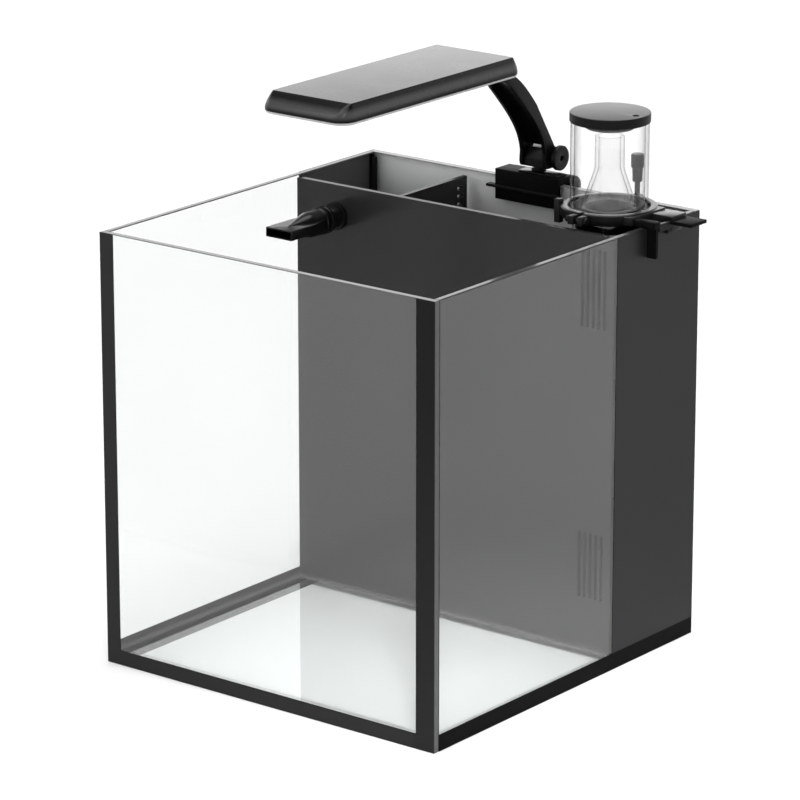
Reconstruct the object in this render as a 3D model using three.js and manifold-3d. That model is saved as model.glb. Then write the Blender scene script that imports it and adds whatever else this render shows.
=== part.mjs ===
// A rimless all-in-one aquarium: glass box with a rear filter bay, a clamp-on lamp and a protein skimmer.
// Millimetres, +Z up. The origin is under the middle of the glass box, X runs along the front pane
// and Y runs from the front pane to the back pane.
import * as THREE from 'three';
import { mergeVertices } from 'three/addons/utils/BufferGeometryUtils.js';
import Module from 'manifold-3d';

const wasm = await Module();
wasm.setup();

// Driving dimensions

const gap = 0.3; // air between pieces that are fitted to each other
const coarse = 20; // facets round small turned pieces
const fine = 44; // facets round large turned pieces

const tank = { width: 350, depth: 365, height: 378, glass: 6, board: 4 };
const halfW = tank.width / 2;
const halfD = tank.depth / 2;
const inX = halfW - tank.glass;
const inY = halfD - tank.glass;
const floorTop = tank.board + tank.glass;

const edging = 12.4; // width of the black strip under the left edge of the floor pane
const film = {
  thick: 0.4, lift: 0.3, frontLeft: 14.5, frontRight: 18.5, frontFoot: 13.4, sideFoot: 14.7, leftFoot: 15.5,
};
const seam = { leg: 3, land: 0.2, top: 374 };
const partition = { front: 68, thick: 5, top: 376 };
const bay = { front: partition.front + partition.thick, rightFilm: 64, leftFilm: 78 };
const slots = { first: 137, pitch: 5.65, width: 3, count: 5, rows: [[57, 115], [295, 364]] };
const divider = { leftX: -70, rightX: 60, thick: 4, leftTop: 372, rightTop: 330, gate: 26 };
const overflow = { count: 4, low: 340, pitch: 7, height: 3, width: 8, inset: 14 };

const outlet = {
  x: -125, z: 348.5, boreR: 8, pipeR: 9.2, holeR: 9.5, flangeR: 12, flangeThick: 4, nutR: 15, nutThick: 6,
  neck: 48, tail: 82, elbowR: 10.2, bend: 18,
};
const bill = {
  tip: -11, halfX: 14.2, halfZ: 4.2, wall: 1.2, slotEnd: 16, plateEnd: 22,
  coneR: 11.6, shoulder: 29, root: 41, lipR: 12.4, end: 47.2,
};
const grip = { edgeR: 11.6, ringR: 12.4, length: 4.5 };
const hose = { outR: 8.5, inR: 6.5, straight: 12 };
const pump = {
  x: -124, y: 112, halfX: 26, front: 92, back: 132, low: 12, high: 52, round: 4,
  spigot: 70, spigotR: 7, boreR: 5, cover: 6,
};
const rotor = { chamberR: 12, tipR: 10.5, hubR: 4, z: 30, blades: 6, bladeThick: 1.6 };
const grid = { bars: 5, pitch: 6, width: 3, halfZ: 9 };
const basket = { x0: -60, x1: 54, y0: 78, y1: 166, low: floorTop + gap, high: 250, wall: 2.5 };
const windows = { count: 5, first: 14, pitch: 20, width: 6, inset: 12, low: 20, high: 90 };
const spongeTop = 120;

const lamp = {
  x: 5, top: 507.5, band: 495.6, rim: 493, wall: 2,
  rimHalfX: 45, rimFront: -139, rimBack: 102, rimR: 14,
  topHalfX: 41, topFront: -126, topBack: 93, topR: 5,
};
const diffuser = { thick: 2.2, inset: 1.2 };
const leds = {
  halfX: 34, y0: -112, y1: 78, low: 503.4, high: 505.2,
  rows: 3, rowPitch: 20, count: 7, first: -100, pitch: 27, side: 6, drop: 1, sink: 0.4,
};
const arm = { halfW: 14, cheek: 3.4, pivotY: 190.5, pivotZ: 398.7, barrel: 8.9, pinR: 2.8 };
const foot = { front: 178, low: 390.2, r: 8.5 };
const knob = { neckR: 7, neck: 3, discR: 11, disc: 4, recessR: 2.5, reach: 3, capR: 6 };
const clamp = {
  x0: -33, x1: 35, inner: 173, outer: 194, low: 357.5, under: tank.height + gap, top: 384.5, leg: 3.2,
  back: 4, backLow: 350, tongue: 7.7, ledgeLow: 368, ledgeHigh: 370.5,
};
const jaw = { x1: 42, low: 346, high: 384, round: 6, thick: 3 };
const plate = { x0: -10, x1: 32, y0: 175, y1: 190, thick: 1.7, round: 2 };
const post = { x: 4, y: 187, r: 4.5, flangeR: 6.5, flange: 1.5, high: 393.8 };
const screw = { x: 5, z: 364, r: 3, headR: 9, head: 9, stand: 2, padR: 9, pad: 3 };

const skimmer = {
  x: 121.2, y: 126.9, ringR: 41.2, ringIn: 34.5, ringLow: 376.5, ringTop: 386, cupR: 33.1, wall: 3,
};
const ears = {
  reach: 8.5, thick: 5.5, split: 4, boltZ: 381.2, boltY: 4.3, boltR: 1.5, headR: 2.8, head: 3, nutR: 3, nut: 2.5,
};
const stay = { x0: 80.5, x1: 86.5, y0: 104, y1: 110, low: 368.5, high: 389 };
const cup = {
  low: 384.6, high: 457.2, lidTop: 465.7, lidR: 34.2, plugR: 20.8, plugLow: 451.8, ventR: 3.2, ventX: 26,
  neckR: 12.5, neckTop: 445.1, coneR: 23.6, coneTop: 416.6,
  skirtLow: 366, skirtR: 28.2, boreR: 20, rimLow: 377,
};
const valve = {
  x: 121.5, y: 167.5, stemR: 2.3, neckR: 4.2, shoulderR: 4.5, capR: 5.7, lugR: 5,
  low: 386.3, neck: 397.7, shoulder: 409.4, top: 421.7,
};
const riser = { outR: 31, inR: 28.5, low: 44, high: 376, floor: 3, boreR: 6 };
const airPump = { halfX: 24, y0: 102, y1: 150, low: 12, round: 5, z: 28, chamberEnd: 126, boreR: 5 };
const hanger = {
  start: 162.9, face: halfW + film.thick + gap, under: tank.height + gap, top: 384,
  tab: 154, tabY: 101, hookY: 103, hookEnd: 111, legX: 185, legLow: 353, finY: 104.8, fin: 3,
  blockY: 129, blockEnd: 150, lipX: 180, outerX: 184, lipLow: 369, lipHigh: 373, railLow: 374.5, railHigh: 381,
};
const tray = { x1: 205.5, y0: 126, y1: 149, low: 378.5, high: 381.5 };

// Finishes

const finishes = {
  glass: { color: 0xeaf2f0, roughness: 0.05, metalness: 0, transparent: true, opacity: 0.3 },
  acrylic: { color: 0xf2f4f4, roughness: 0.08, metalness: 0, transparent: true, opacity: 0.35 },
  board: { color: 0xe6e6e4, roughness: 0.6, metalness: 0 },
  film: { color: 0x1c1c1c, roughness: 0.35, metalness: 0 },
  panel: { color: 0x262626, roughness: 0.3, metalness: 0 },
  seal: { color: 0x141414, roughness: 0.5, metalness: 0 },
  clearSeal: { color: 0xd8dcdc, roughness: 0.3, metalness: 0, transparent: true, opacity: 0.6 },
  plastic: { color: 0x161616, roughness: 0.35, metalness: 0 },
  shell: { color: 0x6e6e6e, roughness: 0.4, metalness: 0.1 },
  sponge: { color: 0x30343a, roughness: 0.95, metalness: 0 },
  rotor: { color: 0x9a9a98, roughness: 0.4, metalness: 0 },
  metal: { color: 0xb8b8b8, roughness: 0.3, metalness: 0.9 },
  hose: { color: 0xb9c4c4, roughness: 0.4, metalness: 0, transparent: true, opacity: 0.7 },
};

// Shape tools

const axisX = new THREE.Vector3(1, 0, 0);
const axisY = new THREE.Vector3(0, 1, 0);
const axisZ = new THREE.Vector3(0, 0, 1);
const alongX = new THREE.Matrix4().makeBasis(axisY, axisZ, axisX);
const alongY = new THREE.Matrix4().makeBasis(axisX, axisZ, axisY.clone().negate());
const turnAboutZ = alongY;
const turnAboutX = new THREE.Matrix4().makeBasis(axisY, axisX, axisZ.clone().negate());

// A closed solid from any closed geometry, facing outwards.
function solid(geometry) {
  const bare = geometry.index ? geometry.toNonIndexed() : geometry.clone();
  for (const name of Object.keys(bare.attributes)) if (name !== 'position') bare.deleteAttribute(name);
  const merged = mergeVertices(bare, 1e-4);
  const place = merged.attributes.position.array;
  const triangles = [];
  let volume = 0;
  const corner = [0, 1, 2].map(() => new THREE.Vector3());
  for (let i = 0; i < merged.index.count; i += 3) {
    const [a, b, c] = merged.index.array.subarray(i, i + 3);
    if (a === b || b === c || c === a) continue;
    triangles.push([a, b, c]);
    [a, b, c].forEach((v, k) => corner[k].fromArray(place, v * 3));
    volume += corner[0].dot(corner[1].cross(corner[2]));
  }
  if (volume < 0) triangles.forEach((t) => t.reverse());
  return new wasm.Manifold(new wasm.Mesh({
    numProp: 3, vertProperties: Float32Array.from(place), triVerts: Uint32Array.from(triangles.flat()),
  }));
}

function surface(body) {
  const mesh = body.getMesh();
  const geometry = new THREE.BufferGeometry();
  geometry.setAttribute('position', new THREE.BufferAttribute(Float32Array.from(mesh.vertProperties), 3));
  geometry.setIndex(new THREE.BufferAttribute(Uint32Array.from(mesh.triVerts), 1));
  return geometry;
}

const join = (...parts) => surface(parts.map(solid).reduce((whole, part) => whole.add(part)));
function cut(base, ...tools) {
  return surface(tools.map(solid).reduce((whole, tool) => whole.subtract(tool), solid(base)));
}

function block(x0, x1, y0, y1, z0, z1) {
  const box = new THREE.BoxGeometry(x1 - x0, y1 - y0, z1 - z0);
  return box.translate((x0 + x1) / 2, (y0 + y1) / 2, (z0 + z1) / 2);
}

function outline(points) {
  return new THREE.Shape(points.map(([a, b]) => new THREE.Vector2(a, b)));
}

function roundedBox(a0, a1, b0, b1, r) {
  const shape = new THREE.Shape();
  shape.absarc(a1 - r, b0 + r, r, -Math.PI / 2, 0, false);
  shape.absarc(a1 - r, b1 - r, r, 0, Math.PI / 2, false);
  shape.absarc(a0 + r, b1 - r, r, Math.PI / 2, Math.PI, false);
  shape.absarc(a0 + r, b0 + r, r, Math.PI, Math.PI * 1.5, false);
  return shape;
}

function circle(a, b, r) {
  return new THREE.Shape().absarc(a, b, r, 0, Math.PI * 2, false);
}

function withHoles(shape, holes) {
  shape.holes.push(...holes);
  return shape;
}

function flat(shape, depth, curveSegments) {
  return new THREE.ExtrudeGeometry(shape, { depth, curveSegments, bevelEnabled: false });
}
const extrudeZ = (shape, z0, z1, segments = 6) => flat(shape, z1 - z0, segments).translate(0, 0, z0);
function extrudeX(shape, x0, x1, segments = 6) {
  return flat(shape, x1 - x0, segments).applyMatrix4(alongX).translate(x0, 0, 0);
}
function extrudeY(shape, y0, y1, segments = 6) {
  return flat(shape, y1 - y0, segments).applyMatrix4(alongY).translate(0, y1, 0);
}

// Turned pieces: a profile of [radius, distance along the axis] points.
function turned(profile, segments = fine) {
  return new THREE.LatheGeometry(profile.map(([r, h]) => new THREE.Vector2(r, h)), segments);
}

function turnZ(profile, x, y, segments) {
  return turned(profile, segments).applyMatrix4(turnAboutZ).translate(x, y, 0);
}
const turnY = (profile, x, z, segments) => turned(profile, segments).translate(x, 0, z);
function turnX(profile, y, z, segments) {
  return turned(profile, segments).applyMatrix4(turnAboutX).translate(0, y, z);
}
const rod = (r, a, b) => [[0, a], [r, a], [r, b], [0, b]];
const sleeve = (inner, outer, a, b) => [[inner, a], [outer, a], [outer, b], [inner, b], [inner, a]];

function pipe(points, outerR, innerR, steps, sides) {
  const section = circle(0, 0, outerR);
  if (innerR) section.holes.push(new THREE.Path().absarc(0, 0, innerR, 0, Math.PI * 2, true));
  const extrudePath = new THREE.CatmullRomCurve3(points.map((p) => new THREE.Vector3(...p)));
  return new THREE.ExtrudeGeometry(section, { steps, extrudePath, curveSegments: sides, bevelEnabled: false });
}

// A skin over rings that all have the same number of points, closed by a fan at each end.
function loft(rings) {
  const count = rings[0].length;
  const place = [];
  const index = [];
  const middle = (ring) => ring.reduce((sum, p) => sum.map((v, k) => v + p[k] / count), [0, 0, 0]);
  rings.forEach((ring) => ring.forEach((p) => place.push(...p)));
  const first = place.length / 3;
  place.push(...middle(rings[0]), ...middle(rings[rings.length - 1]));
  const lastRing = (rings.length - 1) * count;
  for (let i = 0; i < count; i += 1) {
    const j = (i + 1) % count;
    for (let r = 0; r < rings.length - 1; r += 1) {
      const low = r * count;
      const high = low + count;
      index.push(low + i, low + j, high + j, low + i, high + j, high + i);
    }
    index.push(first, j, i, first + 1, lastRing + i, lastRing + j);
  }
  const geometry = new THREE.BufferGeometry();
  geometry.setAttribute('position', new THREE.Float32BufferAttribute(place, 3));
  geometry.setIndex(index);
  return geometry;
}

function ringZ(x0, x1, y0, y1, r, z) {
  return roundedBox(x0, x1, y0, y1, r).getPoints(3).map((p) => [p.x, p.y, z]);
}

const aquarium = new THREE.Group();

function piece(name, geometry, finish) {
  const mesh = new THREE.Mesh(surface(solid(geometry)), new THREE.MeshStandardMaterial(finishes[finish]));
  mesh.name = name;
  aquarium.add(mesh);
}

// Glass box: the front and back panes cover the edges of the side panes

function glassBox() {
  piece('front_pane', block(-halfW, halfW, -halfD, -inY, 0, tank.height), 'glass');
  piece('back_pane', block(-halfW, halfW, inY, halfD, 0, tank.height), 'glass');
  piece('left_pane', block(-halfW, -inX, -inY, inY, 0, tank.height), 'glass');
  piece('right_pane', block(inX, halfW, -inY, inY, 0, tank.height), 'glass');
  piece('bottom_pane', block(-inX, inX, -inY, inY, tank.board, floorTop), 'glass');
  piece('base_board', block(-inX + edging, inX, -inY, inY, 0, tank.board), 'board');
  piece('floor_border', block(-inX, -inX + edging, -inY, inY, 0, tank.board), 'film');
}

function cornerSeam(name, x, y, finish) {
  const sx = Math.sign(x) * seam.leg;
  const sy = Math.sign(y) * seam.leg;
  const shape = outline([[x, y], [x - sx, y], [x, y - sy]]);
  piece(name, extrudeZ(shape, floorTop + seam.leg, seam.top), finish);
}

function seams() {
  cornerSeam('front_left_seam', -inX, -inY, 'clearSeal');
  cornerSeam('front_right_seam', inX, -inY, 'clearSeal');
  cornerSeam('rear_left_seam', -inX, inY, 'seal');
  cornerSeam('rear_right_seam', inX, inY, 'seal');
  const high = floorTop + seam.leg;
  const frame = block(-inX, inX, -inY, partition.front, floorTop, high);
  const rectangle = (inset, z) => [
    [-inX + inset, -inY + inset, z], [inX - inset, -inY + inset, z],
    [inX - inset, partition.front - inset, z], [-inX + inset, partition.front - inset, z],
  ];
  const slope = (seam.leg - seam.land) / seam.leg;
  const hollow = loft([rectangle(seam.leg + slope, floorTop - 1), rectangle(seam.land - slope, high + 1)]);
  piece('bottom_seam', cut(frame, hollow), 'clearSeal');
}

// Black borders and films on the outside of the glass

function borders() {
  const low = film.lift;
  const front = outline([
    [-halfW, low], [halfW, low], [halfW, tank.height], [halfW - film.frontRight, tank.height],
    [halfW - film.frontRight, film.frontFoot], [-halfW + film.frontLeft, film.frontFoot],
    [-halfW + film.frontLeft, tank.height], [-halfW, tank.height],
  ]);
  piece('front_border', extrudeY(front, -halfD - film.thick, -halfD), 'film');
  const side = (foot, rear) => outline([
    [-inY, low], [halfD, low], [halfD, tank.height], [rear, tank.height], [rear, foot], [-inY, foot],
  ]);
  piece('right_border', extrudeX(side(film.sideFoot, bay.rightFilm), halfW, halfW + film.thick), 'film');
  piece('left_border', extrudeX(side(film.leftFoot, bay.leftFilm), -halfW - film.thick, -halfW), 'film');
  piece('back_film', block(-halfW, halfW, halfD, halfD + film.thick, low, tank.height), 'film');
}

// Rear filter bay

function filterBay() {
  const panel = roundedBox(-inX, inX, floorTop, partition.top, 1);
  const holes = [];
  for (let i = 0; i < slots.count; i += 1) {
    const x = slots.first + i * slots.pitch;
    for (const [low, high] of slots.rows) {
      holes.push(roundedBox(x - slots.width / 2, x + slots.width / 2, low, high, slots.width / 2 - 0.1));
    }
  }
  const back = partition.front + partition.thick;
  const slotted = extrudeY(withHoles(panel, holes), partition.front, back, 2);
  const pipeHole = turnY(rod(outlet.holeR, partition.front - 1, back + 1), outlet.x, outlet.z, 36);
  piece('rear_partition', cut(slotted, pipeHole), 'panel');

  const weir = Array.from({ length: overflow.count }, (_, i) => {
    const y = inY - overflow.inset;
    const z = overflow.low + i * overflow.pitch;
    return roundedBox(y, y + overflow.width, z, z + overflow.height, 1);
  });
  const leftShape = withHoles(outline([
    [bay.front, floorTop], [inY, floorTop], [inY, divider.leftTop], [bay.front, divider.leftTop],
  ]), weir);
  piece('left_divider', extrudeX(leftShape, divider.leftX, divider.leftX + divider.thick, 2), 'panel');
  const rightShape = outline([
    [bay.front, floorTop], [bay.front + divider.gate, floorTop], [bay.front + divider.gate, floorTop + divider.gate],
    [inY - divider.gate, floorTop + divider.gate], [inY - divider.gate, floorTop], [inY, floorTop],
    [inY, divider.rightTop], [bay.front, divider.rightTop],
  ]);
  piece('right_divider', extrudeX(rightShape, divider.rightX, divider.rightX + divider.thick), 'panel');
}

function mediaBasket() {
  const { x0, x1, y0, y1, low, high, wall } = basket;
  const shell = block(x0, x1, y0, y1, low, high);
  const inside = block(x0 + wall, x1 - wall, y0 + wall, y1 - wall, low + wall, high + 1);
  const open = [];
  for (let i = 0; i < windows.count; i += 1) {
    const x = x0 + windows.first + i * windows.pitch;
    open.push(block(x, x + windows.width, y0 + windows.inset, y1 - windows.inset, low - 1, low + wall + 1));
    open.push(block(x, x + windows.width, y0 - 1, y1 + 1, low + windows.low, low + windows.high));
  }
  piece('media_basket', cut(shell, inside, ...open), 'plastic');
  const slack = wall + 1;
  const foam = block(x0 + slack, x1 - slack, y0 + slack, y1 - slack, low + wall + gap, spongeTop);
  piece('filter_sponge', foam, 'sponge');
}

// Water return: pump, hose, elbow, bulkhead and the flat nozzle

function impeller(x, y0, y1, z, tipR) {
  const hub = turnY(rod(rotor.hubR, y0, y1), x, z, coarse);
  const blades = [];
  for (let i = 0; i < rotor.blades / 2; i += 1) {
    const blade = block(-tipR, tipR, y0 + 2, y1 - 4, -rotor.bladeThick / 2, rotor.bladeThick / 2);
    blades.push(blade.rotateY((i * 2 * Math.PI) / rotor.blades).translate(x, 0, z));
  }
  return join(hub, ...blades);
}

function grille(x, halfX, y0, y1, low, high, z) {
  const bars = Array.from({ length: grid.bars }, (_, i) => {
    const middle = x + (i - (grid.bars - 1) / 2) * grid.pitch;
    return roundedBox(middle - grid.width / 2, middle + grid.width / 2, z - grid.halfZ, z + grid.halfZ, 1.2);
  });
  return extrudeY(withHoles(roundedBox(x - halfX, x + halfX, low, high, pump.round), bars), y0, y1, 2);
}

function returnPump() {
  const { x, y, halfX, front, back, low, high, spigot } = pump;
  const casing = extrudeY(roundedBox(x - halfX, x + halfX, low, high, pump.round), front, back, 3);
  const tail = turnZ(rod(pump.spigotR, high - 2, spigot), x, y, coarse);
  const chamber = turnY(rod(rotor.chamberR, front - 1, y + 6), x, rotor.z, coarse);
  const riserBore = turnZ(rod(pump.boreR, rotor.z, spigot + 1), x, y, coarse);
  piece('return_pump', cut(join(casing, tail), chamber, riserBore), 'plastic');
  piece('return_pump_cover', grille(x, halfX, front - pump.cover, front - gap, low, high, rotor.z), 'plastic');
  piece('return_impeller', impeller(x, front + 1, y + 4, rotor.z, rotor.tipR), 'rotor');
}

// The elbow turns the pipe down behind the bulkhead, and the hose runs from it to the pump.
function returnHose() {
  const { bend } = outlet;
  const mouth = outlet.tail + gap;
  const lead = mouth + 6;
  const quarter = Array.from({ length: 7 }, (_, i) => {
    const angle = (i / 6) * (Math.PI / 2);
    return [outlet.x, lead + bend * Math.sin(angle), outlet.z - bend * (1 - Math.cos(angle))];
  });
  const end = [outlet.x, lead + bend, outlet.z - bend - 8];
  const turn = [[outlet.x, mouth, outlet.z], ...quarter, end];
  piece('outlet_elbow', pipe(turn, outlet.elbowR, outlet.boreR, 12, 4), 'plastic');
  const [hoseX, hoseY] = end;
  const hoseTop = end[2] - 3 * gap;
  const route = [
    [hoseX, hoseY, hoseTop], [hoseX, hoseY, hoseTop - hose.straight], [hoseX, hoseY + 3, 250],
    [pump.x - 1, pump.y + 2, 150], [pump.x, pump.y, pump.spigot + 2 * hose.straight],
    [pump.x, pump.y, pump.spigot + 2 * gap],
  ];
  piece('return_hose', pipe(route, hose.outR, hose.inR, 18, 3), 'hose');
}

function outletBulkhead() {
  const { x, z, boreR, pipeR, holeR, flangeR, flangeThick, neck, tail, nutR } = outlet;
  const face = partition.front;
  piece('outlet_bulkhead', turnY([
    [boreR, neck], [pipeR, neck], [pipeR, face - flangeThick], [flangeR, face - flangeThick], [flangeR, face],
    [pipeR, face], [pipeR, tail], [boreR, tail], [boreR, neck],
  ], x, z, 36), 'plastic');
  const hexagon = outline(Array.from({ length: 6 }, (_, i) => {
    const angle = (i * Math.PI) / 3;
    return [x + nutR * Math.cos(angle), z + nutR * Math.sin(angle)];
  }));
  const nut = withHoles(hexagon, [circle(x, z, holeR)]);
  piece('bulkhead_nut', extrudeY(nut, bay.front, bay.front + outlet.nutThick, 8), 'plastic');
  const end = neck + grip.length;
  piece('nozzle_collar', turnY([
    [holeR, neck], [grip.edgeR, neck], [grip.ringR, neck + 1], [grip.ringR, end - 1],
    [grip.edgeR, end], [holeR, end], [holeR, neck],
  ], x, z, 36), 'plastic');
}

// A flat bill that grows out of a cone: the bill points at the front pane.
function duckbill() {
  const { x, z, boreR } = outlet;
  const { tip, halfX, halfZ, wall, coneR, shoulder, root, lipR, end } = bill;
  const count = 32;
  const ring = (y, rx, rz) => Array.from({ length: count }, (_, i) => {
    const angle = -(2 * Math.PI * (i + 0.5)) / count;
    return [x + rx * Math.cos(angle), y, z + rz * Math.sin(angle)];
  });
  const beak = loft([
    ring(0, 0.8, halfZ - 0.1), ring(shoulder, coneR - 0.6, coneR - 0.6), ring(shoulder + 2, coneR, coneR),
    ring(root, coneR, coneR), ring(root + 1, lipR, lipR), ring(end - 1, lipR, lipR), ring(end, coneR, coneR),
  ]);
  const plan = outline([
    [x - halfX, tip], [x + halfX, tip], [x + halfX, bill.plateEnd], [x + coneR - 1, root],
    [x - coneR + 1, root], [x - halfX, bill.plateEnd],
  ]);
  const blade = extrudeZ(plan, z - halfZ, z + halfZ);
  const mouthX = halfX - wall;
  const mouthZ = halfZ - wall;
  const mouth = block(x - mouthX, x + mouthX, tip - 1, bill.slotEnd, z - mouthZ, z + mouthZ);
  const throat = turnY([[0, 6], [2.2, 6], [boreR, 36], [boreR, end + 1], [0, end + 1]], x, z, coarse);
  piece('duckbill_nozzle', cut(join(beak, blade), mouth, throat), 'plastic');
}

// Lamp head, arm, foot and the clamp over the back pane

function lampHead() {
  const { x, top, band, rim, wall } = lamp;
  const lower = (z, inset) => ringZ(
    x - lamp.rimHalfX + inset, x + lamp.rimHalfX - inset, lamp.rimFront + inset, lamp.rimBack - inset,
    lamp.rimR - inset, z,
  );
  const upper = (z, inset) => ringZ(
    x - lamp.topHalfX + inset, x + lamp.topHalfX - inset, lamp.topFront + inset, lamp.topBack - inset,
    lamp.topR - inset, z,
  );
  const outer = loft([lower(rim, 0), lower(band, 0), upper(top, 0)]);
  const inner = loft([lower(rim - 1, wall), lower(band, wall), upper(top - wall, wall + 2)]);
  piece('lamp_housing', cut(outer, inner), 'shell');
  const lens = loft([lower(rim - diffuser.thick, diffuser.inset), lower(rim - gap / 2, diffuser.inset / 2)]);
  piece('lamp_diffuser', lens, 'acrylic');
  const board = block(x - leds.halfX, x + leds.halfX, leds.y0, leds.y1, leds.low, leds.high);
  const chips = [];
  for (let row = 0; row < leds.rows; row += 1) {
    const chipX = x + (row - (leds.rows - 1) / 2) * leds.rowPitch - leds.side / 2;
    for (let i = 0; i < leds.count; i += 1) {
      const chipY = leds.first + i * leds.pitch;
      chips.push(block(chipX, chipX + leds.side, chipY, chipY + leds.side, leds.low - leds.drop, leds.low + leds.sink));
    }
  }
  piece('led_board', join(board, ...chips), 'metal');
}

// The side outline of the arm: two long curves and a round end on the tilt axis.
function armOutline() {
  const shape = new THREE.Shape();
  shape.moveTo(58, 490.4);
  shape.lineTo(58, 487);
  shape.bezierCurveTo(98, 486.5, 116, 482, 128, 470);
  shape.bezierCurveTo(152, 445, 174, 425, 176, 403);
  shape.lineTo(175.4, 396);
  shape.quadraticCurveTo(175.6, arm.pivotZ - arm.barrel, 181, arm.pivotZ - arm.barrel);
  shape.lineTo(arm.pivotY, arm.pivotZ - arm.barrel);
  shape.absarc(arm.pivotY, arm.pivotZ, arm.barrel, -Math.PI / 2, Math.PI / 5, false);
  shape.lineTo(189.5, 409);
  shape.lineTo(163, 450.5);
  shape.bezierCurveTo(148, 468, 132, 487, 104, 490.4);
  return shape;
}

// The open front of the channel: everything between the cheeks but a thin web along the back.
function armHollow() {
  const shape = new THREE.Shape();
  shape.moveTo(96, 480);
  shape.bezierCurveTo(118, 482, 128, 476, 142, 463);
  shape.lineTo(160, 446.5);
  shape.lineTo(184, 409);
  shape.lineTo(210, 414);
  shape.lineTo(210, 380);
  shape.lineTo(165, 380);
  shape.lineTo(96, 440);
  return shape;
}

function lampArm() {
  const left = lamp.x - arm.halfW;
  const right = lamp.x + arm.halfW;
  const bar = extrudeX(armOutline(), left, right, 10);
  const channel = extrudeX(armHollow(), left + arm.cheek, right - arm.cheek, 10);
  const pinHole = turnX(rod(arm.pinR + gap, left - 1, right + 1), arm.pivotY, arm.pivotZ, coarse);
  piece('lamp_arm', cut(bar, channel, pinHole), 'plastic');

  const cheekIn = arm.cheek + gap;
  const shape = new THREE.Shape();
  shape.moveTo(foot.front, foot.low);
  shape.lineTo(arm.pivotY, foot.low);
  shape.absarc(arm.pivotY, arm.pivotZ, foot.r, -Math.PI / 2, Math.PI / 2, false);
  shape.lineTo(184, 406.5);
  shape.lineTo(foot.front, 397.5);
  const footBody = extrudeX(shape, left + cheekIn, right - cheekIn, 8);
  const bore = turnZ(rod(post.r + gap, foot.low - 2, post.high + gap), post.x, post.y, coarse);
  piece('lamp_foot', cut(footBody, bore, pinHole), 'plastic');

  const disc = right + knob.neck;
  const outer = disc + knob.disc;
  piece('tilt_knob', turnX([
    [0, left - knob.reach], [arm.pinR, left - knob.reach], [arm.pinR, right + gap], [knob.neckR, right + gap],
    [knob.neckR, disc], [knob.discR, disc], [knob.discR, outer - 0.6], [knob.discR - 0.6, outer],
    [knob.recessR, outer], [knob.recessR, disc + 1], [0, disc + 1],
  ], arm.pivotY, arm.pivotZ, 36), 'plastic');
  const cap = sleeve(arm.pinR + gap, knob.capR, left - knob.reach, left - gap);
  piece('pivot_cap', turnX(cap, arm.pivotY, arm.pivotZ, coarse), 'metal');
}

function lampClamp() {
  const { x0, x1, inner, outer, low, under, top, leg } = clamp;
  const profile = outline([
    [inner, low], [inner + leg, low], [inner + leg, under], [outer - clamp.back, under],
    [outer - clamp.back, clamp.backLow], [outer, clamp.backLow], [outer, top], [inner, top],
  ]);
  const throughHole = turnY(rod(screw.r + gap, outer - clamp.back - 1, outer + 1), screw.x, screw.z, coarse);
  piece('clamp_body', cut(extrudeX(profile, x0, x1), throughHole), 'plastic');
  const tongue = x0 - clamp.tongue;
  const ledge = outline([
    [tongue, inner - 3], [x1, inner - 3], [x1, inner], [x0, inner], [x0, inner + leg], [tongue, inner + leg],
  ]);
  piece('clamp_flange', extrudeZ(ledge, clamp.ledgeLow, clamp.ledgeHigh), 'plastic');
  const jawShape = roundedBox(x0, jaw.x1, jaw.low, jaw.high, jaw.round);
  const jawHole = circle(screw.x, screw.z, screw.r + gap);
  piece('clamp_jaw', extrudeY(withHoles(jawShape, [jawHole]), outer, outer + jaw.thick), 'plastic');
  const plateTop = top + plate.thick;
  const seat = roundedBox(plate.x0, plate.x1, plate.y0, plate.y1, plate.round);
  piece('swivel_plate', extrudeZ(seat, top, plateTop), 'plastic');
  piece('swivel_post', turnZ([
    [0, plateTop], [post.flangeR, plateTop], [post.flangeR, plateTop + post.flange],
    [post.r, plateTop + post.flange],
    [post.r, post.high], [0, post.high],
  ], post.x, post.y, coarse), 'metal');
  const face = halfD + film.thick + gap;
  const padEnd = face + screw.pad;
  piece('clamp_pad', turnY(rod(screw.padR, face, padEnd), screw.x, screw.z, coarse), 'seal');
  const head = outer + jaw.thick + screw.stand;
  piece('clamp_screw', turnY([
    [0, padEnd + gap], [screw.r, padEnd + gap], [screw.r, head], [screw.headR, head],
    [screw.headR, head + screw.head - 1], [screw.headR - 1, head + screw.head], [0, head + screw.head],
  ], screw.x, screw.z, 16), 'plastic');
}

// Protein skimmer hung in the right chamber

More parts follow.
